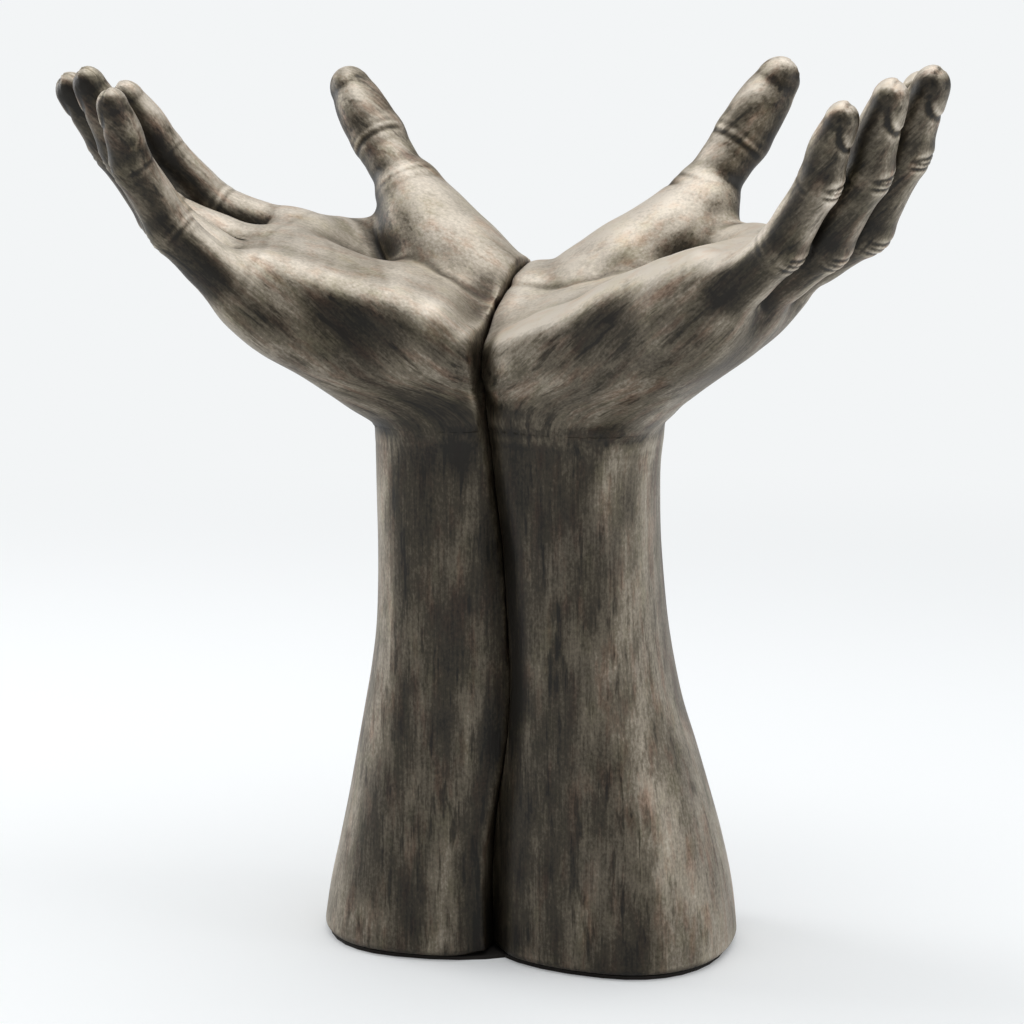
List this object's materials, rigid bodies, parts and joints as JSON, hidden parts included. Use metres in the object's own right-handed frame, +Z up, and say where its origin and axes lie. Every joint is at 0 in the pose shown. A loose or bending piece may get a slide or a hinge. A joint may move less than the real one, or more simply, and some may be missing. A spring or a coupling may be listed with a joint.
{
  "type": "cupped hands sculpture",
  "caption": "Free-standing decorative sculpture: a pair of life-size hands, palms up and opened outward, on two forearms joined side by side.",
  "frame": {"origin": "on the floor, under the middle of the base between the two arms", "axes": "+X towards the viewer's right arm, +Y away from the little fingers, +Z up"},
  "size_m": [0.3046, 0.1345, 0.3106],
  "materials": {
    "patinated_resin": "satin antique bronze-silver paint over cast resin, dark patina in the hollows",
    "steel_wire": "plain drawn steel",
    "dowel_wood": "plain beech",
    "plug_board": "matt cast plug",
    "plaster": "poured plaster",
    "dark_felt": "dark glued felt"
  },
  "bodies": {
    "root": {"left_forearm": "patinated_resin", "left_hand": "patinated_resin", "left_wrist_dowel_front": "dowel_wood", "left_wrist_dowel_back": "dowel_wood", "left_thumb_wire": "steel_wire", "left_index_wire": "steel_wire", "left_middle_wire": "steel_wire", "left_ring_wire": "steel_wire", "left_little_wire": "steel_wire", "left_base_plug": "plug_board", "left_ballast": "plaster", "right_forearm": "patinated_resin", "right_hand": "patinated_resin", "right_wrist_dowel_front": "dowel_wood", "right_wrist_dowel_back": "dowel_wood", "right_thumb_wire": "steel_wire", "right_index_wire": "steel_wire", "right_middle_wire": "steel_wire", "right_ring_wire": "steel_wire", "right_little_wire": "steel_wire", "right_base_plug": "plug_board", "right_ballast": "plaster", "lower_tie_bolt": "steel_wire", "lower_tie_nut": "steel_wire", "upper_tie_bolt": "steel_wire", "upper_tie_nut": "steel_wire", "base_felt": "dark_felt"}
  },
  "joints": []
}
